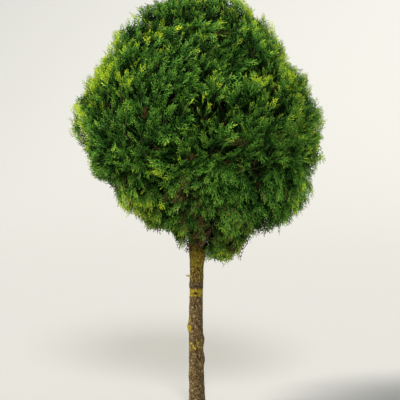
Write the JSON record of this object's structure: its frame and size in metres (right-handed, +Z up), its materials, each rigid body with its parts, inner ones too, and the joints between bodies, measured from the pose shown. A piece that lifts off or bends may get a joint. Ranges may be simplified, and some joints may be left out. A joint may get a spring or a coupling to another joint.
{
  "type": "ball-headed arborvitae standard",
  "caption": "Clipped round conifer head on one clear bare stem, rooted in the ground: upswept boughs inside, flat toothed sprays outside.",
  "frame": {"origin": "centre of the flat cut under the stem, at ground level", "axes": "+Z up along the stem, -Y towards the side that the picture shows, +X to that side's right"},
  "size_m": [0.9069, 0.8786, 1.5335],
  "materials": {
    "stem_bark": "rough, with patches of yellow lichen",
    "bough_bark": "thin, flaking, reddish brown",
    "foliage": "matt evergreen scale leaves with yellow-green tips"
  },
  "bodies": {
    "root": {"trunk": "stem_bark", "bough_lower_1": "bough_bark", "bough_lower_2": "bough_bark", "bough_lower_3": "bough_bark", "bough_lower_4": "bough_bark", "bough_lower_5": "bough_bark", "bough_lower_6": "bough_bark", "bough_middle_1": "bough_bark", "bough_middle_2": "bough_bark", "bough_middle_3": "bough_bark", "bough_middle_4": "bough_bark", "bough_middle_5": "bough_bark", "bough_middle_6": "bough_bark", "bough_middle_7": "bough_bark", "bough_upper_1": "bough_bark", "bough_upper_2": "bough_bark", "bough_upper_3": "bough_bark", "bough_upper_4": "bough_bark", "bough_upper_5": "bough_bark", "bough_upper_6": "bough_bark", "foliage_lower_1": "foliage", "foliage_lower_2": "foliage", "foliage_lower_3": "foliage", "foliage_lower_4": "foliage", "foliage_lower_5": "foliage", "foliage_lower_6": "foliage", "foliage_middle_1": "foliage", "foliage_middle_2": "foliage", "foliage_middle_3": "foliage", "foliage_middle_4": "foliage", "foliage_middle_5": "foliage", "foliage_middle_6": "foliage", "foliage_middle_7": "foliage", "foliage_upper_1": "foliage", "foliage_upper_2": "foliage", "foliage_upper_3": "foliage", "foliage_upper_4": "foliage", "foliage_upper_5": "foliage", "foliage_upper_6": "foliage", "foliage_top": "foliage"}
  },
  "joints": []
}
